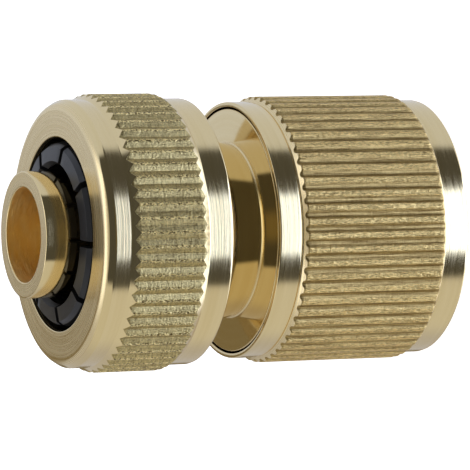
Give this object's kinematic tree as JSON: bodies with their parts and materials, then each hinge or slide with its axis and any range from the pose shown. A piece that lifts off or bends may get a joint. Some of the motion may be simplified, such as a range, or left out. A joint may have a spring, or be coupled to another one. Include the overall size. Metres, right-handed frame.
{
  "type": "hose quick connector",
  "caption": "Turned brass quick connector: knurled nut and finger collet clamp a hose on a tail; a knurled sprung sleeve frees the claws that lock a plug.",
  "frame": {"origin": "centre of the socket end of the sleeve, on the surface that it stands on", "axes": "+Z along the connector's axis, from the socket end to the tip of the hose tail; the collet and the knurls repeat about it"},
  "size_m": [0.032, 0.032, 0.0494],
  "materials": {
    "brass_turned": "fine-turned, satin, with brushed bands",
    "brass_knurled": "knurled, satin",
    "acetal_black": "moulded, low sheen",
    "nitrile_black": "matt",
    "spring_steel": "drawn wire"
  },
  "bodies": {
    "body": {"hose_tail": "brass_turned", "socket_barrel": "brass_turned", "joint_seal": "nitrile_black", "release_spring": "spring_steel"},
    "collet": {"clamp_collet": "acetal_black"},
    "nut": {"clamp_nut": "brass_knurled"},
    "sleeve": {"release_sleeve": "brass_knurled"},
    "claw_1": {"locking_claw_1": "acetal_black"},
    "claw_2": {"locking_claw_2": "acetal_black"},
    "claw_3": {"locking_claw_3": "acetal_black"},
    "claw_4": {"locking_claw_4": "acetal_black"}
  },
  "joints": [
    {"name": "clamp_travel", "type": "slide", "parent": "body", "child": "collet", "axis": [0, 0, 1], "range_m": [0, 0.005]},
    {"name": "nut_turn", "type": "hinge", "parent": "collet", "child": "nut", "pos_m": [0, 0, 0.0375], "axis": [0, 0, 1], "range_deg": [0, 1440]},
    {"name": "sleeve_slide", "type": "slide", "parent": "body", "child": "sleeve", "axis": [0, 0, 1], "range_m": [0, 0.004], "stiffness_N_per_m": 450, "springref_m": -0.008, "deforming": ["release_spring"]},
    {"name": "claw_1_slide", "type": "slide", "parent": "body", "child": "claw_1", "axis": [1, 0, 0], "range_m": [0, 0.0011]},
    {"name": "claw_2_slide", "type": "slide", "parent": "body", "child": "claw_2", "axis": [0, 1, 0], "range_m": [0, 0.0011]},
    {"name": "claw_3_slide", "type": "slide", "parent": "body", "child": "claw_3", "axis": [-1, 0, 0], "range_m": [0, 0.0011]},
    {"name": "claw_4_slide", "type": "slide", "parent": "body", "child": "claw_4", "axis": [0, -1, 0], "range_m": [0, 0.0011]}
  ],
  "couplings": [
    {"joint": "clamp_travel", "follows": "nut_turn", "m_per_rad": 0.00019894},
    {"joint": "claw_1_slide", "follows": "sleeve_slide", "ratio": 0.275},
    {"joint": "claw_2_slide", "follows": "sleeve_slide", "ratio": 0.275},
    {"joint": "claw_3_slide", "follows": "sleeve_slide", "ratio": 0.275},
    {"joint": "claw_4_slide", "follows": "sleeve_slide", "ratio": 0.275}
  ]
}
